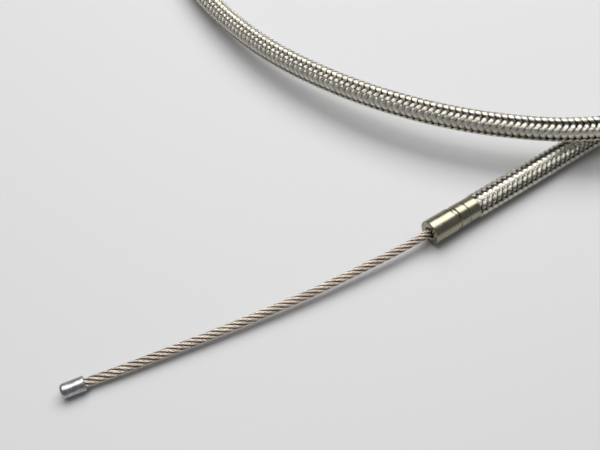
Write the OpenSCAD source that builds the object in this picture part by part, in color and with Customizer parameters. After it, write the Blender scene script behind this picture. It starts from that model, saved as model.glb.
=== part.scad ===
// Braided control cable with a wire rope that slides in it.
// End A is a plain crimped ferrule with a small nipple on a bare length of rope.
// End B has a barrel adjuster, a lock nut, a dust boot and a barrel nipple.
// The cable lies on the plane z = 0. The spare length is a coil of nearly two turns.
// End A's ferrule lies along X, and its front face looks towards -X.

/* [Rope] */
// Diameter of the wire rope
rope_d = 1.8; // [1.2:0.1:1.8]
// How far the rope can be pulled out at end A
rope_travel = 25; // [5:1:27]

/* [Housing] */
// Outer diameter of the braid
braid_d = 5.4; // [5:0.1:5.5]
// Outer diameter of the plastic sleeve under the braid
sleeve_d = 4; // [3.9:0.1:4.2]
// Outer diameter of the flat-wire conduit coil
conduit_d = 3.6; // [3.3:0.1:3.7]
// Outer diameter of the liner tube
liner_d = 2.5; // [2.3:0.1:2.8]
// Bore of the liner tube
liner_bore = 2; // [1.9:0.1:2.1]

/* [Ferrules] */
// Diameter of the front section
ferrule_d = 5.3; // [5:0.1:5.6]
// Whole length
ferrule_length = 12.1; // [11:0.1:14]
// Length of the front section, up to the first groove
ferrule_front = 5.8; // [5:0.1:6.5]
// Hole in the front wall
ferrule_mouth = 2.4; // [2.2:0.1:3]
// Depth of the rolled grooves
groove_depth = 0.2; // [0.1:0.05:0.3]

/* [Nipple at end A] */
// Diameter
nipple_d = 2.9; // [2.5:0.1:4]
// Length
nipple_length = 4.5; // [3.5:0.1:6]

/* [Adjuster at end B] */
// Diameter of the knurled head
head_d = 8; // [7.6:0.1:8]
// Number of grooves in the knurled head
head_grooves = 20; // [12:1:24]
// Outer diameter of the thread
thread_d = 5; // [4.8:0.1:5.1]
// Rise of the thread in one turn
thread_pitch = 0.8; // [0.5:0.1:0.8]
// Turns that the lock nut can make on the thread
nut_turns = 10; // [2:1:10]
// Lock nut's size across its flats
nut_flats = 8; // [7.6:0.1:8]

/* [Barrel nipple at end B] */
// Diameter
barrel_d = 7; // [6:0.5:8]
// Length
barrel_length = 7; // [6:0.5:10]

/* [Coil ties] */
// Width of the ties
tie_width = 3; // [2:0.5:5]

/* [Hidden] */

$fn = 64;

// The origin is under the middle of the fittings and the inner pieces.
// The layout below is drawn from end A's front face, so it is moved by this much.
layout_shift = [-41.2, -53.7, 0];

// Ends. A height is that of the axis, and a heading is the way the rope comes out.
rest_gap = 0.05;
end_a_height = max(braid_d, ferrule_d) / 2 + rest_gap;
end_a_straight = 55;
end_b_front = [116, 76.6];
end_b_height = head_d / 2;
end_b_heading = -50;
end_b_straight = 42;

// Lengths along an end's axis run from the ferrule's front face, positive outwards.
wall = 2;
mouth_chamfer = 0.15;
edge_chamfer = 0.2;
groove_w = 0.3;
ring_w = 0.57;
ring_drop = 0.18;
rear_section = 2.8;
rear_step = 0.1;
crimp_bore = sleeve_d + 0.4;
braid_flare = 0.8;
braid_start = -wall - 0.2;

// Rope
rope_r = rope_d / 2;
rope_a_hidden = rope_travel + 15;
rope_b_hidden = 12;
rope_sides = 8;

// End A's nipple: the middle, the way its free end points, and the blind bore.
nipple_middle = [-74.75, 10.23, nipple_d / 2];
nipple_heading = 170;
nipple_round = 0.6;
nipple_bore_end = 1;

// The rope's way from end A's front face to the nipple.
rope_a_route = [
    [0, 0, 2.8],
    [-2, 0, 2.85],
    [-5, 0.1, 2.8],
    [-10, 0.4, 2.6],
    [-18, 1.1, 2.4],
    [-27.5, 2.1, 2.1],
    [-38, 3.6, 1.9],
    [-48.5, 5.3, 1.7],
    [-58.5, 7.1, 1.6],
    [-68, 8.9, 1.5]
];

// The housing's way from end A's straight length to the coil.
run_a_route = [
    [55, 0, 2.75],
    [61.5, 0.2, 2.85],
    [68, 1.3, 3],
    [74.5, 3.5, 3.2]
];

// The housing's way from the coil, over end A's straight length, to end B.
run_b_route = [
    [66.6, -17.6, 9.2],
    [59.6, -10.3, 8.8],
    [50, -4.2, 8.5],
    [39.5, 1.6, 8.5],
    [30.4, 8.9, 8.3],
    [22.2, 17.5, 8],
    [15.1, 27.3, 7.5],
    [9.2, 37.8, 6.9],
    [4.5, 49, 6.2],
    [1, 60.6, 5.5],
    [-1, 72.7, 4.8],
    [-1.6, 85.1, 4.1],
    [-0.7, 97.4, 3.6],
    [2.7, 109, 3.2],
    [8.9, 119.4, 2.9],
    [17.5, 127.9, 2.8],
    [27.9, 133.8, 2.9],
    [39.5, 136.8, 3.1],
    [51.5, 136.4, 3.5],
    [63, 132.6, 3.8],
    [73.2, 126.2, 4],
    [81.4, 117.8, 4]
];
run_sides = 10;

// Coil. It is wound clockwise seen from above, and the heading falls from one end to the other.
coil_middle = [100.5, -16.4];
coil_d = 60;
coil_low = 3.35;
coil_high = 9.3;
coil_in_heading = 30;
coil_out_heading = 118;
coil_sweep = coil_in_heading - coil_out_heading + 720;
coil_climb_start = coil_sweep - 360;
coil_climb_end = 360;
coil_steps = 42;
coil_sides = 6;
tie_angles = [60, -70];
tie_thick = 0.5;
tie_slack = 0.1;

// Adjuster, along end B's axis
head_back = -ferrule_front;
head_front = 2;
head_groove_r = 0.35;
head_band = [-2.6, -1.4];
head_band_depth = 0.28;
socket_gap = 0.05;
relief_w = 0.6;
relief_depth = 0.4;
adjuster_bore = 2.4;
washer_start = 3.2;
washer_thick = 1;
washer_d = 7.8;
washer_gap = 0.1;
washer_split = 0.6;
nut_thick = 2.7;
nut_gap = 0.05;
nut_chamfer = 0.5;
nut_travel = nut_turns * thread_pitch;
boot_start = washer_start + washer_thick + nut_gap + nut_thick + nut_travel + 1.05;
boot_length = 11;
boot_tip_bore = rope_d + 0.3;
boot_grip = 4;
thread_end = boot_start + boot_grip;

// Barrel nipple, along end B's axis
barrel_spare = 4.5;
barrel_at = boot_start + boot_length + rope_travel + barrel_spare + barrel_d / 2;
barrel_edge = 0.4;
sink_depth = 1.4;
sink_d = 3.6;
rope_b_end = barrel_at + barrel_d / 2 - 0.6;

// ---- Functions ----

function unit(v) = v / norm(v);
function heading_vector(a) = [cos(a), sin(a), 0];

// Smooth rise from 0 to 1 while a goes from start to end
function smooth_rise(a, start, end) =
    a <= start ? 0 : a >= end ? 1 : (1 - cos(180 * (a - start) / (end - start))) / 2;

// A ring of n points round p, square to the direction t
function ring_at(p, t, r, n) =
    let (side = unit(cross([0, 0, 1], t)), up = cross(t, side))
    [for (i = [0 : n - 1]) p + r * (cos(360 * (i + 0.5) / n) * side + sin(360 * (i + 0.5) / n) * up)];

// The direction of a path at point i. The end directions are given.
function path_way(path, i, first, last) =
    i == 0 ? first : i == len(path) - 1 ? last : unit(path[i + 1] - path[i - 1]);

// A closed tube of n sides along a path
module tube(path, r, n, first, last) {
    count = len(path);
    rings = [for (i = [0 : count - 1]) each ring_at(path[i], path_way(path, i, first, last), r, n)];
    sides = [
        for (i = [0 : count - 2])
            for (j = [0 : n - 1])
                let (a = i * n + j, b = i * n + (j + 1) % n)
                each [[a, a + n, b], [b, a + n, b + n]]
    ];
    start_cap = [for (j = [1 : n - 2]) [0, j, j + 1]];
    end_cap = [for (j = [1 : n - 2]) let (e = (count - 1) * n) [e, e + j + 1, e + j]];
    polyhedron(points = rings, faces = concat(sides, start_cap, end_cap), convexity = 10);
}

// Middle of the coiled tube after it has turned by a degrees
function coil_point(a) =
    let (around = 90 + coil_in_heading - a)
    [
        coil_middle[0] + coil_d / 2 * cos(around),
        coil_middle[1] + coil_d / 2 * sin(around),
        coil_low + (coil_high - coil_low) * smooth_rise(a, coil_climb_start, coil_climb_end)
    ];

coil_start = coil_point(0) - braid_d * heading_vector(coil_in_heading);
coil_end = coil_point(coil_sweep) + braid_d * heading_vector(coil_out_heading);
coil_turns = [for (i = [0 : coil_steps]) coil_point(coil_sweep * i / coil_steps)];
coil_path = concat([coil_start], coil_turns, [coil_end]);

// Least gap between the coil's two turns, measured on points of its middle line
coil_gap = min([
    for (i = [0 : coil_steps])
        for (j = [i + 16 : 1 : coil_steps])
            norm(coil_turns[i] - coil_turns[j]) - braid_d
]);
echo(least_gap_in_coil = coil_gap);

end_b_way = heading_vector(end_b_heading);
end_b_origin = [end_b_front[0], end_b_front[1], end_b_height];

// ---- Placing ----

module placed() {
    translate(layout_shift) children();
}

// Stands a shape drawn along +Z on end A's axis, so that +Z points out of the ferrule
module on_end_a() {
    placed() translate([0, 0, end_a_height]) rotate([0, 0, 180]) rotate([0, 90, 0]) children();
}

// The same on end B's axis
module on_end_b() {
    placed() translate(end_b_origin) rotate([0, 0, end_b_heading]) rotate([0, 90, 0]) children();
}

// A round tube along Z between two places
module pipe(outer, inner, from, to) {
    rotate_extrude() translate([inner / 2, from]) square([(outer - inner) / 2, to - from]);
}

// ---- Housing ----

module ferrule() {
    r = ferrule_d / 2;
    ring_r = r - ring_drop;
    mid_r = r - rear_step;
    rear_r = r - 1.5 * rear_step;
    front_edge = -ferrule_front;
    ring_front = front_edge - groove_w;
    ring_rear = ring_front - ring_w;
    mid_front = ring_rear - groove_w;
    rear_front = -ferrule_length + rear_section;
    mid_rear = rear_front + groove_w;
    rotate_extrude()
        polygon([
            [crimp_bore / 2, -ferrule_length],
            [rear_r - edge_chamfer / 2, -ferrule_length],
            [rear_r, -ferrule_length + edge_chamfer / 2],
            [rear_r, rear_front],
            [rear_r - groove_depth, rear_front],
            [rear_r - groove_depth, mid_rear],
            [mid_r, mid_rear],
            [mid_r, mid_front],
            [mid_r - groove_depth, mid_front],
            [mid_r - groove_depth, ring_rear],
            [ring_r, ring_rear],
            [ring_r, ring_front],
            [mid_r - groove_depth, ring_front],
            [mid_r - groove_depth, front_edge],
            [r, front_edge],
            [r, -edge_chamfer],
            [r - edge_chamfer, 0],
            [ferrule_mouth / 2 + mouth_chamfer, 0],
            [ferrule_mouth / 2, -mouth_chamfer],
            [ferrule_mouth / 2, -wall],
            [crimp_bore / 2, -wall]
        ]);
}

module braid_end(straight) {
    rotate_extrude()
        polygon([
            [sleeve_d / 2, -straight],
            [braid_d / 2, -straight],
            [braid_d / 2, -ferrule_length - braid_flare],
            [crimp_bore / 2, -ferrule_length],
            [crimp_bore / 2, braid_start],
            [sleeve_d / 2, braid_start]
        ]);
}

module ferrule_a() {
    color([0.62, 0.58, 0.42]) on_end_a() ferrule();
}

module ferrule_b() {
    color([0.62, 0.58, 0.42]) on_end_b() ferrule();
}

module liner_a() {
    color([0.93, 0.93, 0.9]) on_end_a() pipe(liner_d, liner_bore, -end_a_straight, -wall);
}

module liner_b() {
    color([0.93, 0.93, 0.9]) on_end_b() pipe(liner_d, liner_bore, -end_b_straight, -wall);
}

module conduit_a() {
    color([0.55, 0.56, 0.58]) on_end_a() pipe(conduit_d, liner_d, -end_a_straight, -wall);
}

module conduit_b() {
    color([0.55, 0.56, 0.58]) on_end_b() pipe(conduit_d, liner_d, -end_b_straight, -wall);
}

module sleeve_a() {
    color([0.12, 0.12, 0.13]) on_end_a() pipe(sleeve_d, conduit_d, -end_a_straight, -wall);
}

module sleeve_b() {
    color([0.12, 0.12, 0.13]) on_end_b() pipe(sleeve_d, conduit_d, -end_b_straight, -wall);
}

module braid_a() {
    color([0.72, 0.71, 0.67]) on_end_a() braid_end(end_a_straight);
}

module braid_b() {
    color([0.72, 0.71, 0.67]) on_end_b() braid_end(end_b_straight);
}

module housing_run_a() {
    color([0.72, 0.71, 0.67])
        placed() tube(concat(run_a_route, [coil_start]), braid_d / 2, run_sides,
                      [1, 0, 0], heading_vector(coil_in_heading));
}

module housing_coil() {
    color([0.72, 0.71, 0.67])
        placed() tube(coil_path, braid_d / 2, coil_sides,
                      heading_vector(coil_in_heading), heading_vector(coil_out_heading));
}

module housing_run_b() {
    end_b_back = end_b_origin - end_b_straight * end_b_way;
    color([0.72, 0.71, 0.67])
        placed() tube(concat([coil_end], run_b_route, [end_b_back]), braid_d / 2, run_sides,
                      heading_vector(coil_out_heading), end_b_way);
}

// ---- Ties round the coil ----

// A flat shape with round ends, r from its middle line, between two heights
module upright_slot(r, low, high) {
    translate([-r, low]) square([2 * r, high - low]);
    translate([0, low]) circle(r);
    translate([0, high]) circle(r);
}

module tie() {
    inner = braid_d / 2 + tie_slack;
    head = [2.4, 4.5, 4];
    rotate([90, 0, 0])
        linear_extrude(tie_width, center = true)
            difference() {
                upright_slot(inner + tie_thick, coil_low, coil_high);
                upright_slot(inner, coil_low, coil_high);
            }
    translate([inner + tie_thick / 2, -head[1] / 2, (coil_low + coil_high - head[2]) / 2]) cube(head);
}

module coil_ties() {
    color([0.08, 0.08, 0.09])
        placed()
            for (a = tie_angles)
                translate([coil_middle[0], coil_middle[1], 0])
                    rotate([0, 0, a]) translate([coil_d / 2, 0, 0]) tie();
}

// ---- Rope and nipple at end A ----

module rope_a() {
    nipple_way = heading_vector(nipple_heading);
    path = concat(
        [[rope_a_hidden, 0, end_a_height]],
        rope_a_route,
        [nipple_middle - nipple_length / 2 * nipple_way],
        [nipple_middle + (nipple_length / 2 - nipple_bore_end) * nipple_way]
    );
    color([0.62, 0.56, 0.5])
        placed() tube(path, rope_r, rope_sides, [-1, 0, 0], nipple_way);
}

module nipple_a() {
    half = nipple_length / 2;
    r = nipple_d / 2;
    color([0.55, 0.56, 0.58])
        placed()
            translate(nipple_middle) rotate([0, 0, nipple_heading]) rotate([0, 90, 0])
                difference() {
                    rotate_extrude() {
                        translate([0, -half]) square([r, nipple_length - nipple_round]);
                        translate([0, -half]) square([r - nipple_round, nipple_length]);
                        translate([r - nipple_round, half - nipple_round]) circle(nipple_round);
                    }
                    translate([0, 0, -half - 1]) cylinder(r = rope_r, h = nipple_length - nipple_bore_end + 1);
                }
}

// ---- Adjuster end ----

module adjuster() {
    thread_r = thread_d / 2;
    color([0.66, 0.66, 0.67])
        on_end_b()
            difference() {
                union() {
                    translate([0, 0, head_back])
                        cylinder(d = head_d, h = head_front - head_back);
                    cylinder(r = thread_r - relief_depth, h = thread_end);
                    translate([0, 0, head_front + relief_w])
                        cylinder(r = thread_r, h = thread_end - head_front - relief_w);
                }
                translate([0, 0, head_back - 1])
                    cylinder(d = ferrule_d + 2 * socket_gap, h = 1 - head_back + socket_gap);
                translate([0, 0, -1]) cylinder(d = adjuster_bore, h = thread_end + 2);
                pipe(head_d + 2, head_d - 2 * head_band_depth, head_band[0], head_band[1]);
                for (i = [0 : head_grooves - 1])
                    rotate([0, 0, 360 * i / head_grooves])
                        translate([head_d / 2 + head_groove_r / 3, 0, head_back - 1])
                            cylinder(r = head_groove_r, h = head_front - head_back + 2, $fn = 16);
            }
}

module dust_boot() {
    color([0.06, 0.06, 0.065])
        on_end_b() translate([0, 0, boot_start])
            rotate_extrude()
                polygon([
                    [thread_d / 2, 0],
                    [3.5, 0],
                    [3.5, 3.5],
                    [3, 4.2],
                    [3.3, 5],
                    [2.6, 5.9],
                    [2.9, 6.6],
                    [2.2, 7.5],
                    [2.5, 8.2],
                    [1.7, 9.2],
                    [1.7, boot_length],
                    [boot_tip_bore / 2, boot_length],
                    [boot_tip_bore / 2, 9.4],
                    [1.6, 8],
                    [1.9, 6.6],
                    [2.3, 5],
                    [thread_d / 2, boot_grip]
                ]);
}

module lock_washer() {
    color([0.5, 0.5, 0.52])
        on_end_b()
            difference() {
                pipe(washer_d, thread_d + 2 * washer_gap, washer_start, washer_start + washer_thick);
                rotate([0, 0, 90]) translate([0, -washer_split / 2, washer_start - 1])
                    cube([washer_d, washer_split, washer_thick + 2]);
            }
}

module lock_nut() {
    start = washer_start + washer_thick + nut_gap;
    corner_r = nut_flats / 2 / cos(30);
    color([0.6, 0.6, 0.62])
        on_end_b()
            difference() {
                intersection() {
                    translate([0, 0, start]) rotate([0, 0, 30]) cylinder(r = corner_r, h = nut_thick, $fn = 6);
                    rotate_extrude()
                        polygon([
                            [0, start],
                            [corner_r - nut_chamfer, start],
                            [corner_r + nut_chamfer, start + 2 * nut_chamfer * tan(30)],
                            [corner_r + nut_chamfer, start + nut_thick - 2 * nut_chamfer * tan(30)],
                            [corner_r - nut_chamfer, start + nut_thick],
                            [0, start + nut_thick]
                        ]);
                }
                translate([0, 0, start - 1]) cylinder(d = thread_d + 2 * nut_gap, h = nut_thick + 2);
            }
}

module rope_b() {
    color([0.62, 0.56, 0.5])
        on_end_b() translate([0, 0, -rope_b_hidden]) cylinder(r = rope_r, h = rope_b_end + rope_b_hidden);
}

// The barrel's solid outline, lying across end B's axis
module barrel() {
    translate([0, 0, barrel_at]) rotate([90, 0, 0])
        rotate_extrude()
            polygon([
                [0, -barrel_length / 2],
                [barrel_d / 2 - barrel_edge, -barrel_length / 2],
                [barrel_d / 2, -barrel_length / 2 + barrel_edge],
                [barrel_d / 2, barrel_length / 2 - barrel_edge],
                [barrel_d / 2 - barrel_edge, barrel_length / 2],
                [0, barrel_length / 2]
            ]);
}

// The countersink that the rope's end is soldered into
module sink() {
    translate([0, 0, barrel_at + barrel_d / 2 - sink_depth])
        cylinder(r1 = rope_r, r2 = sink_d / 2, h = sink_depth);
}

module nipple_b() {
    color([0.72, 0.6, 0.34])
        on_end_b()
            difference() {
                barrel();
                translate([0, 0, barrel_at - barrel_d]) cylinder(r = rope_r, h = 2 * barrel_d);
                sink();
            }
}

module nipple_b_solder() {
    color([0.75, 0.76, 0.78])
        on_end_b()
            difference() {
                intersection() {
                    barrel();
                    sink();
                }
                cylinder(r = rope_r, h = rope_b_end);
            }
}

ferrule_a();
liner_a();
conduit_a();
sleeve_a();
braid_a();
rope_a();
nipple_a();
housing_run_a();
housing_coil();
housing_run_b();
coil_ties();
ferrule_b();
liner_b();
conduit_b();
sleeve_b();
braid_b();
adjuster();
dust_boot();
lock_washer();
lock_nut();
rope_b();
nipple_b();
nipple_b_solder();
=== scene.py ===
"""A braided control cable: the looks of every piece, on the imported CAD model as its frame.

End A is a crimped ferrule with a bare wire rope and a small nipple. End B is an adjuster with a
lock nut, a dust boot and a barrel nipple. Lengths are in millimetres, and MM turns them into
metres where Blender gets them. Only softbox takes metres.
"""

import math

import bpy
import numpy as np
from mathutils import Matrix, Vector


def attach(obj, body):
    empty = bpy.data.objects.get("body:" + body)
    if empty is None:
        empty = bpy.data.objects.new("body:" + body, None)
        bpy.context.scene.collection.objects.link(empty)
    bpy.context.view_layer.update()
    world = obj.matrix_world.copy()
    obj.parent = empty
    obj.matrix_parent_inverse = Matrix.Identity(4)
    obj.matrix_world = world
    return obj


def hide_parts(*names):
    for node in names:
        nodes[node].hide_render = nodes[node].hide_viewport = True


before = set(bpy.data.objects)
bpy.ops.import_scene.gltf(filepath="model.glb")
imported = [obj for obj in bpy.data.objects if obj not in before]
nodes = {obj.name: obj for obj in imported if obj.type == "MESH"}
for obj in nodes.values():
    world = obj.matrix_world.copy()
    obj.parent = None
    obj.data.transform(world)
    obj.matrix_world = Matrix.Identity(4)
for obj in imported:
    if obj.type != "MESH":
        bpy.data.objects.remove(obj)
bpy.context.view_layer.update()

MM = 0.001
TURN = 2 * math.pi

# ---- Sizes and places, the same as the CAD model's ----

LAYOUT_SHIFT = np.array([-41.2, -53.7, 0.0])
END_A_HEIGHT = 2.75
END_B_FRONT = (116.0, 76.6, 4.0)
END_B_HEADING = -50.0
END_B_STRAIGHT = 42.0

FERRULE_R = 2.65
FERRULE_LENGTH = 12.1
FERRULE_FRONT = 5.8
FERRULE_MOUTH_R = 1.2
FERRULE_WALL = 2.0
CRIMP_R = 2.2
HOUSING_GRIP = 0.4

ROPE_D = 1.8
ROPE_A_INSIDE = 28.0
BRAID_D = 5.4
SLEEVE_D = 4.0
NIPPLE_HEADING = 170.0
NIPPLE_MIDDLE = (-74.75, 10.23, 1.45)
NIPPLE_R = 1.45
NIPPLE_LENGTH = 4.5
NIPPLE_CAP = 1.0

# The rope's way from end A's front face to the nipple
ROPE_A_ROUTE = [
    (0, 0, 2.8),
    (-2, 0, 2.85),
    (-5, 0.1, 2.8),
    (-10, 0.4, 2.6),
    (-18, 1.1, 2.4),
    (-27.5, 2.1, 2.1),
    (-38, 3.6, 1.9),
    (-48.5, 5.3, 1.7),
    (-58.5, 7.1, 1.6),
    (-68, 8.9, 1.5),
]
# The housing's way from end A's straight length to the coil
RUN_A_ROUTE = [
    (55, 0, 2.75),
    (61.5, 0.2, 2.85),
    (68, 1.3, 3),
    (74.5, 3.5, 3.2),
]
# The housing's way from the coil, over end A's straight length, to end B
RUN_B_ROUTE = [
    (66.6, -17.6, 9.2),
    (59.6, -10.3, 8.8),
    (50, -4.2, 8.5),
    (39.5, 1.6, 8.5),
    (30.4, 8.9, 8.3),
    (22.2, 17.5, 8),
    (15.1, 27.3, 7.5),
    (9.2, 37.8, 6.9),
    (4.5, 49, 6.2),
    (1, 60.6, 5.5),
    (-1, 72.7, 4.8),
    (-1.6, 85.1, 4.1),
    (-0.7, 97.4, 3.6),
    (2.7, 109, 3.2),
    (8.9, 119.4, 2.9),
    (17.5, 127.9, 2.8),
    (27.9, 133.8, 2.9),
    (39.5, 136.8, 3.1),
    (51.5, 136.4, 3.5),
    (63, 132.6, 3.8),
    (73.2, 126.2, 4),
    (81.4, 117.8, 4),
]
COIL_MIDDLE = (100.5, -16.4)
COIL_D = 60.0
COIL_LOW = 3.35
COIL_HIGH = 9.3
COIL_IN_HEADING = 30.0
COIL_OUT_HEADING = 118.0
COIL_SWEEP = COIL_IN_HEADING - COIL_OUT_HEADING + 720.0
COIL_CLIMB = (COIL_SWEEP - 360.0, 360.0)
COIL_STEPS = 42
TIE_ANGLES = (60.0, -70.0)
TIE_WIDTH = 3.0
TIE_THICK = 0.5
TIE_SLACK = 0.1

# End B, counted along its axis from the ferrule's front face
HEAD_BACK = -5.8
HEAD_FRONT = 2.0
HEAD_R = 4.0
HEAD_GROOVES = 20
SOCKET_R = 2.7
ADJUSTER_BORE_R = 1.2
THREAD_R = 2.5
THREAD_PITCH = 0.8
THREAD_DEPTH = 0.45
THREAD_START = 2.6
THREAD_END = 20.0
NUT_START = 4.25
NUT_END = 6.95
NUT_FLATS = 8.0
BOOT_START = 16.0
BARREL_AT = 60.0
ROPE_B_START = -12.0
ROPE_B_END = 62.9

# ---- Camera ----

CAMERA_PLACE = (-111.75, -111.23, 130.0)
CAMERA_HEADING = 56.16
CAMERA_DOWN = 55.0
CAMERA_LENS = 45.0
CAMERA_SENSOR = 36.0


def make_camera():
    data = bpy.data.cameras.new("camera")
    data.lens = CAMERA_LENS
    data.sensor_width = CAMERA_SENSOR
    data.clip_start = 0.005
    data.clip_end = 10.0
    camera = bpy.data.objects.new("camera", data)
    camera.location = Vector(CAMERA_PLACE) * MM
    camera.rotation_euler = (math.radians(90 - CAMERA_DOWN), 0, math.radians(CAMERA_HEADING - 90))
    bpy.context.scene.collection.objects.link(camera)
    bpy.context.scene.camera = camera


# ---- Lines ----

LINE_STEP = 0.25


def heading(degrees):
    """The level direction at so many degrees from X towards Y."""
    a = math.radians(degrees)
    return np.array([math.cos(a), math.sin(a), 0.0])


def placed(points):
    """Points of the CAD model's layout, in the part's own frame."""
    return np.asarray(points, float) + LAYOUT_SHIFT


def coil_point(turned):
    """Middle of the coiled housing once it has turned so far, in degrees, clockwise seen from above."""
    start, end = COIL_CLIMB
    share = min(max((turned - start) / (end - start), 0.0), 1.0)
    around = math.radians(90 + COIL_IN_HEADING - turned)
    return (
        COIL_MIDDLE[0] + COIL_D / 2 * math.cos(around),
        COIL_MIDDLE[1] + COIL_D / 2 * math.sin(around),
        COIL_LOW + (COIL_HIGH - COIL_LOW) * (1 - math.cos(math.pi * share)) / 2,
    )


def smooth_line(points, first_way, last_way, step):
    """A cubic spline through the points with given end directions, at even steps along its length."""
    p = np.asarray(points, float)
    h = np.linalg.norm(np.diff(p, axis=0), axis=1)
    n = len(p)
    a = np.zeros((n, n))
    b = np.zeros((n, p.shape[1]))
    a[0, 0] = a[-1, -1] = 1
    b[0], b[-1] = first_way, last_way
    for i in range(1, n - 1):
        a[i, i - 1] = 1 / h[i - 1]
        a[i, i] = 2 / h[i - 1] + 2 / h[i]
        a[i, i + 1] = 1 / h[i]
        b[i] = 3 * ((p[i] - p[i - 1]) / h[i - 1] ** 2 + (p[i + 1] - p[i]) / h[i] ** 2)
    slopes = np.linalg.solve(a, b)
    fine = [p[:1]]
    for i in range(n - 1):
        t = np.linspace(0, 1, max(2, int(h[i] / step * 4)))[1:, None]
        fine.append(
            (2 * t**3 - 3 * t**2 + 1) * p[i]
            + (t**3 - 2 * t**2 + t) * h[i] * slopes[i]
            + (3 * t**2 - 2 * t**3) * p[i + 1]
            + (t**3 - t**2) * h[i] * slopes[i + 1]
        )
    fine = np.vstack(fine)
    along = np.r_[0, np.cumsum(np.linalg.norm(np.diff(fine, axis=0), axis=1))]
    even = np.linspace(0, along[-1], max(2, round(along[-1] / step) + 1))
    return np.stack([np.interp(even, along, fine[:, k]) for k in range(fine.shape[1])], 1)


class Line:
    """A centreline with a frame that doesn't twist about it."""

    def __init__(self, points):
        self.points = points
        self.along = np.r_[0, np.cumsum(np.linalg.norm(np.diff(points, axis=0), axis=1))]
        self.length = self.along[-1]
        ways = np.gradient(points, self.along, axis=0)
        self.ways = ways / np.linalg.norm(ways, axis=1)[:, None]
        normal = np.array([0.0, 0.0, 1.0])
        normals = []
        for way in self.ways:
            normal = normal - normal @ way * way
            normal /= np.linalg.norm(normal)
            normals.append(normal)
        self.normals = np.array(normals)
        self.sides = np.cross(self.ways, self.normals)

    def frames(self, s):
        """Points, ways, normals and sides at lengths s."""
        tables = (self.points, self.ways, self.normals, self.sides)
        return [np.stack([np.interp(s, self.along, t[:, k]) for k in range(3)], -1) for t in tables]


def housing_line():
    """The housing's centreline, from inside end A's ferrule to as far inside end B's."""
    start = FERRULE_LENGTH - HOUSING_GRIP
    end_b_way = heading(END_B_HEADING)
    end_b = np.array(END_B_FRONT)
    end_b_back = end_b - END_B_STRAIGHT * end_b_way
    coil = [coil_point(COIL_SWEEP * i / COIL_STEPS) for i in range(COIL_STEPS + 1)]
    straight_a = np.linspace([start, 0, END_A_HEIGHT], RUN_A_ROUTE[0], 80)
    free = smooth_line([*RUN_A_ROUTE, *coil, *RUN_B_ROUTE, end_b_back], (1, 0, 0), end_b_way, LINE_STEP)
    straight_b = np.linspace(end_b_back, end_b - start * end_b_way, 60)
    return Line(placed(np.vstack([straight_a[:-1], free, straight_b[1:]])))


def rope_a_line():
    """End A's rope, from inside the housing to the bottom of the nipple's blind bore."""
    way = heading(NIPPLE_HEADING)
    middle = np.array(NIPPLE_MIDDLE)
    back = middle - NIPPLE_LENGTH / 2 * way
    end = middle + (NIPPLE_LENGTH / 2 - NIPPLE_CAP) * way
    inside = np.linspace([ROPE_A_INSIDE, 0, END_A_HEIGHT], ROPE_A_ROUTE[0], 60)
    free = smooth_line([*ROPE_A_ROUTE, back, end], (-1, 0, 0), way, LINE_STEP)
    return Line(placed(np.vstack([inside[:-1], free])))


def rope_b_line():
    """End B's rope, straight from inside the ferrule to the barrel nipple."""
    way = heading(END_B_HEADING)
    front = np.array(END_B_FRONT)
    return Line(placed(np.linspace(front + ROPE_B_START * way, front + ROPE_B_END * way, 150)))


# ---- Meshes ----


def new_object(name, verts, faces, sharp=None, shade_relief=None):
    """A smooth mesh object from points in millimetres. Edges over sharp degrees stay sharp.

    relief is each point's height in its surface, from 0 at the bottom to 1 on a crest, and the material
    paints it as shade, darkest at the bottom.
    """
    me = bpy.data.meshes.new(name)
    faces = np.asarray(faces, np.int32)
    corners = faces.shape[1]
    me.vertices.add(len(verts))
    me.vertices.foreach_set("co", (np.asarray(verts, float) * MM).astype(np.float32).ravel())
    me.loops.add(faces.size)
    me.loops.foreach_set("vertex_index", faces.ravel())
    me.polygons.add(len(faces))
    me.polygons.foreach_set("loop_start", np.arange(0, faces.size, corners, dtype=np.int32))
    me.update(calc_edges=True)
    me.validate()
    me.polygons.foreach_set("use_smooth", np.ones(len(me.polygons), bool))
    # a height mask that the material paints as shade
    if shade_relief is not None:
        heights = me.attributes.new("shade_relief", "FLOAT", "POINT")
        heights.data.foreach_set("value", shade_relief.astype(np.float32))
    if sharp:
        me.set_sharp_from_angle(angle=math.radians(sharp))
    ob = bpy.data.objects.new(name, me)
    bpy.context.scene.collection.objects.link(ob)
    return ob


def grid_faces(rows, around, base=0, closed=False):
    """Faces of rows of points that each close round. closed joins the last row to the first."""
    last = rows if closed else rows - 1
    i = np.arange(last)[:, None]
    j = np.arange(around)[None]
    a, b = i * around, (i + 1) % rows * around
    k = (j + 1) % around
    return (base + np.stack([a + j, a + k, b + k, b + j], -1)).reshape(-1, 4)


def wire_bundle(name, wires, r, sides, shade_valley, crest):
    """Round wires as one piece. Each wire is its own points and the cable's middle beside each.

    The relief is 0 at the valley radius round the cable's middle and 1 at the crest radius. The material
    paints it as shade between the wires.
    """
    verts, faces, shade_relief, base = [], [], [], 0
    around = np.arange(sides) * TURN / sides
    for line, middle in wires:
        ways = np.gradient(line, axis=0)
        ways /= np.linalg.norm(ways, axis=1)[:, None]
        # any direction that no wire runs along
        up = np.cross(ways, [0.31, 0.47, 0.83])
        up /= np.linalg.norm(up, axis=1)[:, None]
        side = np.cross(ways, up)
        ring = np.cos(around)[:, None] * up[:, None] + np.sin(around)[:, None] * side[:, None]
        skin = line[:, None] + r * ring
        verts.append(skin.reshape(-1, 3))
        shade_relief.append(np.linalg.norm(skin - middle[:, None], axis=-1).ravel())
        faces.append(grid_faces(len(line), sides, base))
        base += len(line) * sides
    # the height mask of painted shade, from the lowest places to the crests
    shade_relief = np.clip((np.concatenate(shade_relief) - shade_valley) / (crest - shade_valley), 0, 1)
    return new_object(name, np.vstack(verts), np.vstack(faces), shade_relief=shade_relief)


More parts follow.
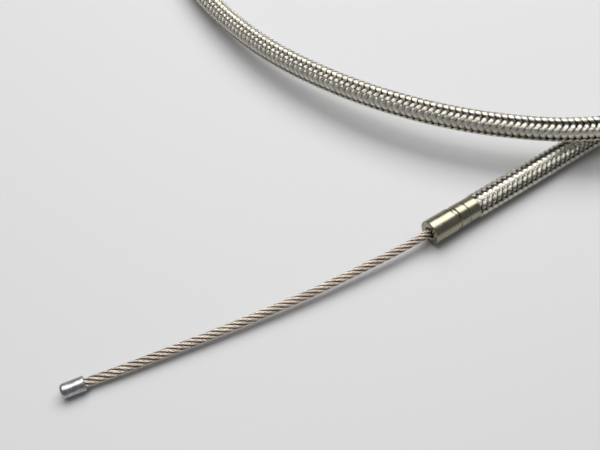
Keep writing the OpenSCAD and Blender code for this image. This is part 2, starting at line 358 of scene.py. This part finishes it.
def held(rings, span=0.6, near=0.07):
    """The rings, and two more near the ends of each long stretch, which keep its shading straight."""
    out = []
    for a, b in zip(rings, np.roll(rings, -1, 0)):
        out.append(a)
        gap = np.abs(b - a).max()
        if gap > span:
            out += [a + (b - a) * near / gap, b - (b - a) * near / gap]
    return np.array(out)


def ring_mesh(name, rings, sharp):
    """A closed surface round Z, from rings by angles by (r, z), up the outside and down the inside."""
    rings = held(np.asarray(rings, float))
    count, around = rings.shape[:2]
    angle = np.arange(around) * TURN / around
    r, z = rings[..., 0], rings[..., 1]
    verts = np.stack([r * np.cos(angle), r * np.sin(angle), z], -1).reshape(-1, 3)
    return new_object(name, verts, grid_faces(count, around, closed=True), sharp)


def ring_at(angle, r, z):
    """One ring round Z. r and z are numbers, or have a value for each angle."""
    flat = np.ones(len(angle))
    return np.stack([r * flat, z * flat], -1)


def lathe(name, profile, around, sharp):
    """A closed profile of (r, z), turned round Z. It goes up the outside and down the inside."""
    rings = np.repeat(np.asarray(profile, float)[:, None], around, 1)
    return ring_mesh(name, rings, sharp)


def soften(ob, width, segments, angle):
    """Rounds the edges of a piece."""
    mod = ob.modifiers.new("edges", "BEVEL")
    mod.width = width * MM
    mod.segments = segments
    mod.limit_method = "ANGLE"
    mod.angle_limit = math.radians(angle)
    return ob


def lay_on(ob, front, degrees):
    """Puts a piece made along Z on an end's axis, so that +Z points out of the ferrule and +X down."""
    turn = Matrix.Rotation(math.radians(degrees), 4, "Z") @ Matrix.Rotation(math.pi / 2, 4, "Y")
    ob.matrix_world = Matrix.Translation(Vector(placed(front)) * MM) @ turn
    return ob


def on_end_a(ob):
    """Puts a piece on end A's axis, with its own origin in the ferrule's front face."""
    return lay_on(ob, (0, 0, END_A_HEIGHT), 180)


def on_end_b(ob):
    """Puts a piece on end B's axis, with its own origin in the ferrule's front face."""
    return lay_on(ob, END_B_FRONT, END_B_HEADING)


# ---- Materials ----

NOISE_LOW = 0.3
NOISE_HIGH = 0.7
GLOSS_FINER = 2.3


def pattern(tree, kind, scale, stretch=(1, 1, 1), **values):
    """A texture node on object coordinates, scaled per metre."""
    coords = tree.nodes.new("ShaderNodeTexCoord")
    mapping = tree.nodes.new("ShaderNodeMapping")
    mapping.inputs["Scale"].default_value = stretch
    tree.links.new(coords.outputs["Object"], mapping.inputs["Vector"])
    node = tree.nodes.new(kind)
    node.inputs["Scale"].default_value = scale
    for key, value in values.items():
        node.inputs[key].default_value = value
    tree.links.new(mapping.outputs["Vector"], node.inputs["Vector"])
    return node


def ramp(tree, source, stops):
    """The source's values as colours."""
    node = tree.nodes.new("ShaderNodeValToRGB")
    elements = node.color_ramp.elements
    while len(elements) < len(stops):
        elements.new(0.5)
    for element, (place, colour) in zip(elements, stops):
        element.position = place
        element.color = (*colour, 1)
    tree.links.new(source, node.inputs["Fac"])
    return node.outputs["Color"]


def spread(tree, source, low, high):
    """The range that a noise mostly has, spread from low to high."""
    node = tree.nodes.new("ShaderNodeMapRange")
    ends = {"From Min": NOISE_LOW, "From Max": NOISE_HIGH, "To Min": low, "To Max": high}
    for key, value in ends.items():
        node.inputs[key].default_value = value
    tree.links.new(source, node.inputs["Value"])
    return node.outputs["Result"]


def finish(name, dark, light, rough, metallic=1.0, scale=900.0, bump=0.0, bump_scale=4000.0,
           bump_stretch=(1, 1, 1), bump_height=0.02, shade_valley=None):
    """A worn finish: its colour and gloss drift from place to place, over a fine grain.

    valley is the colour of painted shade in the lowest places of a piece that has a relief, between its
    wires.
    """
    material = bpy.data.materials.new(name)
    material.use_nodes = True
    tree = material.node_tree
    shader = tree.nodes["Principled BSDF"]
    shader.inputs["Metallic"].default_value = metallic
    drift = pattern(tree, "ShaderNodeTexNoise", scale, Detail=4.0, Roughness=0.6)
    # Painted shade: the colour darkens from light on the crests to near black in the lowest places
    # between wires.
    if shade_valley:
        shade_relief = tree.nodes.new("ShaderNodeAttribute")
        shade_relief.attribute_name = "shade_relief"
        product = tree.nodes.new("ShaderNodeMath")
        product.operation = "MULTIPLY"
        tree.links.new(shade_relief.outputs["Fac"], product.inputs[0])
        tree.links.new(spread(tree, drift.outputs["Fac"], 0.7, 1.0), product.inputs[1])
        colour = ramp(tree, product.outputs["Value"], [(0.08, shade_valley), (0.4, dark), (0.8, light)])
    else:
        colour = ramp(tree, drift.outputs["Fac"], [(NOISE_LOW, dark), (NOISE_HIGH, light)])
    tree.links.new(colour, shader.inputs["Base Color"])
    gloss = pattern(tree, "ShaderNodeTexNoise", scale * GLOSS_FINER, Detail=3.0)
    tree.links.new(spread(tree, gloss.outputs["Fac"], *rough), shader.inputs["Roughness"])
    if bump:
        grain = pattern(tree, "ShaderNodeTexNoise", bump_scale, bump_stretch, Detail=3.0)
        node = tree.nodes.new("ShaderNodeBump")
        node.inputs["Strength"].default_value = bump
        node.inputs["Distance"].default_value = bump_height * MM
        tree.links.new(grain.outputs["Fac"], node.inputs["Height"])
        tree.links.new(node.outputs["Normal"], shader.inputs["Normal"])
    return material


def dress(ob, material):
    """Gives every face of a piece this material."""
    ob.data.materials.clear()
    ob.data.materials.append(material)
    return ob


# ---- Braid and its sleeve ----

CARRIERS = 16
WIRES = 5
WIRE_D = 0.225
WIRE_SIDES = 5
BRAID_LAY = 11.36
BRAID_CREST = 2.73
# the radius where the painted shade between the braid's wires is darkest
BRAID_VALLEY = 2.22
BRAID_RISE = 0.2
CROWN = 0.1
PINCH = 0.25
TUCK = 0.3
TUCK_LENGTH = 1.2
# how far below the crest the painted shade between the wires ends
RELIEF_TOP = 0.02
# Places along a strand, in crossings from the middle of a float over two others, and its height there
FLOAT = [
    (-0.85, 0.45), (-0.45, 0.95), (0, 1.15), (0.45, 0.95), (0.85, 0.45),
    (1.15, -0.5), (1.6, -0.9), (2.4, -0.9), (2.85, -0.5),
]


def braid_strands(line):
    """Each strand's wires. Strands cross two over and two under, in rows along the cable."""
    places, heights = np.array(FLOAT).T
    per_way = CARRIERS // 2
    turn = TURN / BRAID_LAY
    middle_r = BRAID_CREST - WIRE_D / 2 - heights.max() * BRAID_RISE
    slope = math.atan(middle_r * turn)
    crossing = TURN / per_way
    # a strand's wires draw together where it dips under the others
    pinches = PINCH * (heights.max() - heights) / np.ptp(heights)
    strands = []
    for way in (1, -1):
        for i in range(per_way):
            wires = []
            for k in range(WIRES):
                aside = (k - (WIRES - 1) / 2) * WIRE_D
                start = crossing * i + aside / (middle_r * math.cos(slope))
                # v counts crossings of the strands that run the other way
                first = math.floor(start / crossing / 4) * 4 - 4
                last = first + int(2 * turn * line.length / crossing) + 12
                periods = np.arange(first, last, 4)[:, None]
                v = (periods + 0.5 + places - (i % 4)).ravel()
                height, pinch = (np.tile(t, len(periods)) for t in (heights, pinches))
                s = (v * crossing - start) / (2 * turn)
                inside = (s >= 0) & (s <= line.length)
                s, height, pinch = s[inside], height[inside], pinch[inside]
                # the outer wires of a strand lie lower, and the ferrules squeeze the braid's ends
                sunk = CROWN * (2 * aside / (WIRES - 1) / WIRE_D) ** 2
                to_end = np.minimum(s, line.length - s) / TUCK_LENGTH
                tucked = TUCK * np.clip(1 - to_end, 0, 1) ** 2
                r = middle_r + way * height * BRAID_RISE - sunk - tucked
                angle = way * (start - (start - crossing * i) * pinch + turn * s)
                p, _, n, b = line.frames(s)
                out = np.cos(angle)[:, None] * n + np.sin(angle)[:, None] * b
                wires.append((p + r[:, None] * out, p))
            strands.append(wires)
    return strands


def make_housing(metal, plastic):
    """The braid's strands over a dark sleeve."""
    housing = housing_line()
    curve = bpy.data.curves.new("braid_sleeve", "CURVE")
    curve.dimensions = "3D"
    # every fourth point is fine enough for the sleeve
    points = housing.points[::4] * MM
    spline = curve.splines.new("POLY")
    spline.points.add(len(points) - 1)
    spline.points.foreach_set("co", np.c_[points, np.ones(len(points))].ravel())
    curve.bevel_depth = SLEEVE_D / 2 * MM
    curve.bevel_resolution = 4
    sleeve = bpy.data.objects.new("braid_sleeve", curve)
    bpy.context.scene.collection.objects.link(sleeve)
    dress(sleeve, plastic)
    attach(sleeve, "housing")
    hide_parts("housing_run_a", "housing_coil", "housing_run_b")
    strands = []
    for number, wires in enumerate(braid_strands(housing)):
        name = f"braid_strand_{number + 1:02d}"
        strand = wire_bundle(name, wires, WIRE_D / 2, WIRE_SIDES, BRAID_VALLEY, BRAID_CREST - RELIEF_TOP)
        dress(strand, metal)
        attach(strand, "housing")
        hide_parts("braid_a", "braid_b", "housing_run_a", "housing_coil", "housing_run_b")
        strands.append(strand)
    return sleeve, strands, housing


# ---- Rope ----

ROPE_LAY = 10.5
STRAND_LAY = 4.4
ROPE_STEP = 0.3
# the radius where the painted shade between the rope's wires is darkest
ROPE_VALLEY = 0.56


def rope_wires(line):
    """Six strands laid right-handed round a core strand, each of seven wires laid left-handed."""
    strand_r = ROPE_D / 6
    wire_r = strand_r / 3
    s = np.linspace(0, line.length, round(line.length / ROPE_STEP))
    p, t, n, b = line.frames(s)
    wires = []
    for strand in range(7):
        ring_r = 0 if strand == 6 else 2 * strand_r
        slope = math.atan(TURN * ring_r / ROPE_LAY)
        turned = TURN * (strand / 6 + s / ROPE_LAY)[:, None]
        out = np.cos(turned) * n + np.sin(turned) * b
        aside = np.cos(turned) * b - np.sin(turned) * n
        aside = math.cos(slope) * aside - math.sin(slope) * t
        for wire in range(7):
            spun = TURN * (wire / 6 - s / STRAND_LAY)[:, None]
            wire_ring = 0 if wire == 6 else 2 * wire_r
            wires.append((p + ring_r * out + wire_ring * (np.cos(spun) * out + np.sin(spun) * aside), p))
    return wires, wire_r


def make_rope(name, line, body, node, metal):
    """A rope's wires along its line."""
    wires, wire_r = rope_wires(line)
    rope = wire_bundle(name, wires, wire_r, WIRE_SIDES, ROPE_VALLEY, ROPE_D / 2 - RELIEF_TOP)
    dress(rope, metal)
    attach(rope, body)
    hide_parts(node)
    return rope


# ---- Fittings ----


def ferrule_profile():
    """A ferrule's (r, z), up from its crimped end: rear, groove, middle, groove, ring, groove, front."""
    r, back, front = FERRULE_R, -FERRULE_LENGTH, -FERRULE_FRONT
    mid, rear, ring, deep = r - 0.1, r - 0.15, r - 0.18, 0.2
    return [
        (CRIMP_R, back), (rear - 0.12, back), (rear, back + 0.12),
        (rear, back + 2.72), (rear - 0.03, back + 2.78), (rear - deep, back + 2.88),
        (rear - deep, back + 3.02), (mid - 0.03, back + 3.12), (mid, back + 3.18),
        (mid, front - 1.25), (mid - 0.03, front - 1.19), (mid - deep, front - 1.09),
        (mid - deep, front - 0.95), (ring - 0.03, front - 0.85), (ring, front - 0.78),
        (ring, front - 0.39), (ring - 0.03, front - 0.32), (mid - deep, front - 0.22),
        (mid - deep, front - 0.1), (r - 0.04, front - 0.02), (r, front + 0.04),
        (r, -0.22), (r - 0.05, -0.1), (r - 0.16, -0.02), (r - 0.25, 0),
        (FERRULE_MOUTH_R + 0.2, 0), (FERRULE_MOUTH_R + 0.06, -0.05), (FERRULE_MOUTH_R, -0.2),
        (FERRULE_MOUTH_R, -FERRULE_WALL), (CRIMP_R, -FERRULE_WALL),
    ]


def make_ferrule(name, node, place, metal):
    ferrule = dress(lathe(name, ferrule_profile(), 128, 50), metal)
    place(ferrule)
    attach(ferrule, "housing")
    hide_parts(node)
    return ferrule


def make_nipple_a(metal):
    """A small cast cylinder with a rounded free end and a faint parting line."""
    r, half, around = NIPPLE_R, NIPPLE_LENGTH / 2, 96
    rope_r = ROPE_D / 2
    corner = 0.6
    arc = [(r - corner + corner * math.cos(a), half - corner + corner * math.sin(a))
           for a in np.linspace(0, math.pi / 2, 8)]
    profile = [
        (rope_r, -half + 0.1), (rope_r + 0.12, -half), (r - 0.18, -half), (r - 0.05, -half + 0.05),
        (r, -half + 0.18), *[(r, z) for z in np.linspace(-half + 0.5, half - corner - 0.2, 8)],
        *arc, (0.5, half), (0.001, half), (0.001, half - NIPPLE_CAP), (rope_r, half - NIPPLE_CAP),
    ]
    rings = np.repeat(np.array(profile)[:, None], around, 1)
    angle = np.arange(around) * TURN / around
    z = rings[..., 1]
    skin = rings[..., 0] > r - 0.3
    uneven = 0.012 * np.sin(3 * angle + 2 * z) + 0.008 * np.sin(7 * angle - 5 * z + 1)
    seams, seam_width = (1.1, 1.1 + math.pi), 0.05
    off = [(angle - seam + math.pi) % TURN - math.pi for seam in seams]
    parting = sum(np.exp(-((a / seam_width) ** 2)) for a in off)
    rings[..., 0] += skin * (uneven - 0.012 + 0.02 * parting)
    nipple = dress(ring_mesh("nipple_a_cast", rings, 50), metal)
    turn = Matrix.Rotation(math.radians(NIPPLE_HEADING), 4, "Z") @ Matrix.Rotation(math.pi / 2, 4, "Y")
    nipple.matrix_world = Matrix.Translation(Vector(placed(NIPPLE_MIDDLE)) * MM) @ turn
    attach(nipple, "rope_end_a")
    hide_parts("nipple_a")
    return nipple


def thread_r(z, angle, clearance=0.0):
    """Radius of a right-hand thread, with a flat crest and a rounded root."""
    phase = (z / THREAD_PITCH - angle / TURN) % 1.0
    shape = np.clip(1.45 - np.abs(phase - 0.5) * 3.4, 0, 1)
    return THREAD_R - THREAD_DEPTH * (1 - shape) + clearance


def make_adjuster(metal):
    """A knurled head with a socket for the ferrule, and a hollow threaded shank."""
    around = 200
    angle = np.arange(around) * TURN / around
    groove = (angle * HEAD_GROOVES / TURN) % 1.0
    off = np.minimum(groove, 1 - groove) * TURN / HEAD_GROOVES * HEAD_R
    groove_r, groove_depth, band_depth, shank_r = 0.38, 0.75, 0.28, THREAD_R - 0.4
    knurl = HEAD_R - np.sqrt(np.clip(groove_r**2 - off**2, 0, None)) * groove_depth

    def ring(r, z):
        return ring_at(angle, r, z)

    def head(z, inset):
        return ring_at(angle, np.minimum(knurl, HEAD_R - inset), z)

    rings = [
        ring(SOCKET_R, HEAD_BACK + 0.15), ring(SOCKET_R + 0.15, HEAD_BACK),
        head(HEAD_BACK, 0.5), head(HEAD_BACK + 0.12, 0.22), head(HEAD_BACK + 0.4, 0),
        head(-2.6, 0), head(-2.45, band_depth), head(-1.55, band_depth), head(-1.4, 0),
        head(HEAD_FRONT - 0.4, 0), head(HEAD_FRONT - 0.12, 0.22), head(HEAD_FRONT, 0.5),
        ring(shank_r + 0.1, HEAD_FRONT), ring(shank_r, HEAD_FRONT + 0.1),
        ring(shank_r, THREAD_START - 0.05),
    ]
    for z in np.arange(THREAD_START, THREAD_END - 0.02, THREAD_PITCH / 8):
        run_in = THREAD_R - THREAD_DEPTH + (z - THREAD_START)
        end_chamfer = THREAD_R - 0.5 + (THREAD_END - z)
        rings.append(ring(np.minimum(thread_r(z, angle), min(run_in, end_chamfer)), z))
    rings += [
        ring(THREAD_R - 0.5, THREAD_END), ring(ADJUSTER_BORE_R + 0.15, THREAD_END),
        ring(ADJUSTER_BORE_R, THREAD_END - 0.15), ring(ADJUSTER_BORE_R, 0.05), ring(SOCKET_R, 0.05),
    ]
    adjuster = dress(ring_mesh("adjuster_body", rings, 35), metal)
    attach(on_end_b(adjuster), "adjuster")
    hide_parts("adjuster")


def make_lock_nut(metal):
    """A hexagon nut with chamfered corners and a thread that follows the adjuster's."""
    around = 96
    angle = np.arange(around) * TURN / around
    sixth = TURN / 6
    corner_cut, corner_slope, clearance, mouth_depth = 0.5, 30, 0.06, 0.4
    mouth_r = THREAD_R + 0.1
    hexagon = NUT_FLATS / 2 / np.cos((angle + sixth / 2) % sixth - sixth / 2)
    round_r = NUT_FLATS / 2 / math.cos(sixth / 2) - corner_cut
    drop = np.clip(hexagon - round_r, 0, None) * math.tan(math.radians(corner_slope))
    top, bottom = NUT_END, NUT_START
    inner = np.minimum(hexagon, round_r)
    outline = [
        (mouth_r, bottom), (inner, bottom), (hexagon, bottom + drop),
        (hexagon, top - drop), (inner, top), (mouth_r, top),
    ]
    rings = [ring_at(angle, r, z) for r, z in outline]
    for z in np.arange(top - 0.1, bottom + 0.05, -THREAD_PITCH / 8):
        from_face = min(top - z, z - bottom)
        mouth = THREAD_R - mouth_depth + min(max(mouth_depth - from_face, 0), mouth_depth)
        rings.append(ring_at(angle, np.maximum(thread_r(z, angle, clearance), mouth), z))
    nut = dress(ring_mesh("lock_nut_body", rings, 35), metal)
    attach(soften(on_end_b(nut), 0.06, 2, 40), "nut")
    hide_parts("lock_nut")


def make_boot(rubber):
    """A soft bellows that grips the thread's end and closes round the rope."""
    collar = [(2.52, 0), (3.2, 0.02), (3.46, 0.25), (3.5, 0.8), (3.5, 2.9), (3.42, 3.5)]
    folds = [
        (3.05, 4.05), (3.0, 4.35), (3.28, 4.85), (3.25, 5.15), (2.66, 5.75), (2.63, 6.05), (2.9, 6.5),
        (2.87, 6.8), (2.26, 7.35), (2.23, 7.65), (2.5, 8.1), (2.46, 8.4), (1.8, 9.05),
    ]
    lip = [(1.68, 9.5), (1.7, 10.6), (1.58, 10.95), (1.3, 11.0)]
    inside = [
        (1.08, 10.9), (1.05, 10.6), (1.05, 9.5), (1.55, 8.0),
        (1.9, 6.6), (2.3, 5.0), (2.5, 4.1), (2.5, 0.1),
    ]
    outside = smooth_line([*collar, *folds, *lip], (1, 0), (-1, 0), 0.14)
    profile = [(r, z + BOOT_START) for r, z in [*outside, *inside]]
    boot = dress(lathe("dust_boot_bellows", profile, 96, 60), rubber)
    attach(on_end_b(boot), "adjuster")
    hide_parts("dust_boot")


def make_solder(metal):
    """Solder that fills the barrel's countersink, with a low dome over the rope's end."""
    dome = [(1.6, 3.22), (1.45, 3.33), (1.1, 3.42), (0.6, 3.47), (0.001, 3.5)]
    outline = [(0.94, 2.0), (1.55, 3.1), *dome, (0.001, 2.9), (0.9, 2.9)]
    profile = [(r, z + BARREL_AT) for r, z in outline]
    solder = dress(lathe("solder_fill", profile, 48, 50), metal)
    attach(on_end_b(solder), "rope_end_b")
    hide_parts("nipple_b_solder")
    return solder


def make_tie(name, degrees, nylon):
    """A flat strap round both turns of the coil, with a block that locks it and a cut tail."""
    inner = BRAID_D / 2 + TIE_SLACK
    steps = 24

    def half_round(start, z):
        turned = np.linspace(start, start + math.pi, steps)
        return [(inner * math.cos(a), z + inner * math.sin(a)) for a in turned]

    track = np.array(half_round(0, COIL_HIGH) + half_round(-math.pi, COIL_LOW))
    way = np.roll(track, -1, 0) - np.roll(track, 1, 0)
    out = np.stack([way[:, 1], -way[:, 0]], -1) / np.linalg.norm(way, axis=1)[:, None]
    half, thick, edge = TIE_WIDTH / 2, TIE_THICK, 0.12
    section = [(-half, edge), (-half, thick - edge), (-half + edge, thick), (half - edge, thick),
               (half, thick - edge), (half, edge), (half - edge, 0), (-half + edge, 0)]
    verts = []
    for (x, z), (ox, oz) in zip(track, out):
        verts += [(x + ox * t, y, z + oz * t) for y, t in section]
    faces = [grid_faces(len(track), len(section), closed=True)]

    def block(low, high):
        """A box with bevelled long edges, as two rings of corners."""
        (x0, y0, z0), (x1, y1, z1) = low, high
        c, bevel = 0.35, 0.21
        rim = [(x0, y0), (x1 - c, y0), (x1, y0 + c), (x1, y1 - c), (x1 - c, y1), (x0, y1)]
        levels = [(z0, bevel), (z0 + bevel, 0), (z1 - bevel, 0), (z1, bevel)]
        base = len(verts)
        middle = (y0 + y1) / 2
        for z, inset in levels:
            narrower = 1 - inset / (y1 - y0) * 2
            for x, y in rim:
                verts.append((x - (inset if x > x0 else 0), middle + (y - middle) * narrower, z))
        faces.append(grid_faces(len(levels), len(rim), base))
        top = base + (len(levels) - 1) * len(rim)
        faces.append(base + np.array([[0, 3, 2, 1], [0, 5, 4, 3]]))
        faces.append(top + np.array([[0, 1, 2, 3], [0, 3, 4, 5]]))

    # the block that locks the strap, and its tail above and below
    middle = (COIL_LOW + COIL_HIGH) / 2
    block((inner + 0.1, -2.25, middle - 2), (inner + 2.6, 2.25, middle + 2))
    for low, high in ((1.9, 3.1), (-2.5, -1.9)):
        block((inner + 0.9, -half + 0.1, middle + low), (inner + 1.45, half - 0.1, middle + high))
    tie = dress(new_object(name, verts, np.vstack(faces), 40), nylon)
    around = math.radians(degrees)
    spot = placed((*COIL_MIDDLE, 0)) + COIL_D / 2 * np.array([math.cos(around), math.sin(around), 0])
    tie.matrix_world = Matrix.Translation(Vector(spot) * MM) @ Matrix.Rotation(around, 4, "Z")
    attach(tie, "housing")
    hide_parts("coil_ties")
    return tie


# ---- Floor and light ----


def make_floor():
    """A plain pale floor."""
    size = 3000.0
    corners = [(-size, -size, 0), (size, -size, 0), (size, size, 0), (-size, size, 0)]
    floor = new_object("floor", corners, [(0, 1, 2, 3)])
    material = bpy.data.materials.new("floor")
    material.use_nodes = True
    shader = material.node_tree.nodes["Principled BSDF"]
    shader.inputs["Base Color"].default_value = (0.7, 0.7, 0.7, 1)
    shader.inputs["Roughness"].default_value = 0.6
    dress(floor, material)


def softbox(name, place, size, watts):
    """A rectangular lamp that points at the origin. Its place and size are in metres."""
    light = bpy.data.lights.new(name, "AREA")
    light.shape = "RECTANGLE"
    light.size, light.size_y = size
    light.energy = watts
    lamp = bpy.data.objects.new(name, light)
    lamp.location = place
    lamp.rotation_euler = (-lamp.location).to_track_quat("-Z", "Y").to_euler()
    bpy.context.scene.collection.objects.link(lamp)


def make_light():
    """A key light opposite the camera, a fill light overhead and a dim grey world."""
    softbox("key", (0.35, 0.29, 0.655), (0.9, 0.52), 5.3)
    softbox("fill", (-0.12, 0.17, 0.75), (0.62, 0.44), 2.65)
    world = bpy.data.worlds.new("world")
    bpy.context.scene.world = world
    world.use_nodes = True
    background = world.node_tree.nodes["Background"]
    background.inputs["Color"].default_value = (0.16, 0.162, 0.17, 1)


# ---- The cable ----

make_camera()

# The braid's and the rope's darkest colours are painted shade between their wires.
braid_steel = finish("braid_steel", (0.6, 0.57, 0.49), (0.94, 0.91, 0.81), (0.18, 0.3), scale=500,
                     shade_valley=(0.035, 0.03, 0.025))
sleeve_plastic = finish("sleeve_plastic", (0.015, 0.015, 0.016), (0.03, 0.03, 0.03), (0.45, 0.6),
                        metallic=0.0)
rope_steel = finish("rope_steel", (0.3, 0.235, 0.18), (0.88, 0.79, 0.68), (0.26, 0.38), scale=400,
                    shade_valley=(0.03, 0.02, 0.014))
plating = finish("ferrule_plating", (0.27, 0.255, 0.18), (0.39, 0.372, 0.285), (0.22, 0.3), scale=400,
                 bump=0.25, bump_scale=900, bump_stretch=(1, 1, 30), bump_height=0.01)
zinc = finish("nipple_zinc", (0.31, 0.31, 0.31), (0.62, 0.62, 0.63), (0.27, 0.42), scale=1400,
              bump=0.3, bump_scale=1800, bump_height=0.03)
bright = finish("adjuster_metal", (0.58, 0.58, 0.58), (0.72, 0.72, 0.72), (0.18, 0.3), scale=600,
                bump=0.2, bump_scale=900, bump_stretch=(1, 1, 30), bump_height=0.01)
nut_steel = finish("nut_steel", (0.52, 0.53, 0.54), (0.66, 0.66, 0.66), (0.22, 0.36), scale=800,
                   bump=0.2, bump_scale=3000)
washer_steel = finish("washer_steel", (0.3, 0.3, 0.31), (0.48, 0.48, 0.49), (0.25, 0.42), scale=900,
                      bump=0.2, bump_scale=3000)
brass = finish("barrel_brass", (0.58, 0.42, 0.17), (0.74, 0.58, 0.28), (0.2, 0.34), scale=500,
               bump=0.2, bump_scale=1500, bump_height=0.01)
solder_metal = finish("solder", (0.58, 0.59, 0.61), (0.78, 0.79, 0.8), (0.22, 0.4), scale=1800,
                      bump=0.3, bump_scale=2500)
rubber = finish("boot_rubber", (0.018, 0.018, 0.02), (0.035, 0.035, 0.037), (0.5, 0.7), metallic=0.0,
                scale=900, bump=0.3, bump_scale=5000)
nylon = finish("tie_plastic", (0.015, 0.015, 0.017), (0.03, 0.03, 0.032), (0.3, 0.45), metallic=0.0,
               scale=700, bump=0.15, bump_scale=3000)
liner_white = finish("liner_plastic", (0.80, 0.80, 0.77), (0.9, 0.9, 0.87), (0.3, 0.4), metallic=0.0)
conduit_steel = finish("conduit_steel", (0.34, 0.35, 0.37), (0.5, 0.5, 0.52), (0.3, 0.45))

sleeve, strands, housing = make_housing(braid_steel, sleeve_plastic)
make_ferrule("ferrule_a_crimped", "ferrule_a", on_end_a, plating)
ferrule_b = make_ferrule("ferrule_b_crimped", "ferrule_b", on_end_b, plating)
ties = [make_tie(f"coil_tie_{i + 1}", a, nylon) for i, a in enumerate(TIE_ANGLES)]
line_a = rope_a_line()
rope_a = make_rope("rope_a_strands", line_a, "rope_end_a", "rope_a", rope_steel)
nipple_a = make_nipple_a(zinc)
line_b = rope_b_line()
rope_b = make_rope("rope_b_strands", line_b, "rope_end_b", "rope_b", rope_steel)
make_adjuster(bright)
make_lock_nut(nut_steel)
make_boot(rubber)
solder_fill = make_solder(solder_metal)

for name, material in (
    ("liner_a", liner_white), ("liner_b", liner_white),
    ("conduit_a", conduit_steel), ("conduit_b", conduit_steel),
    ("sleeve_a", sleeve_plastic), ("sleeve_b", sleeve_plastic),
    ("lock_washer", washer_steel), ("nipple_b", brass),
):
    dress(nodes[name], material)

make_floor()
make_light()
bpy.context.scene.view_settings.view_transform = "Standard"
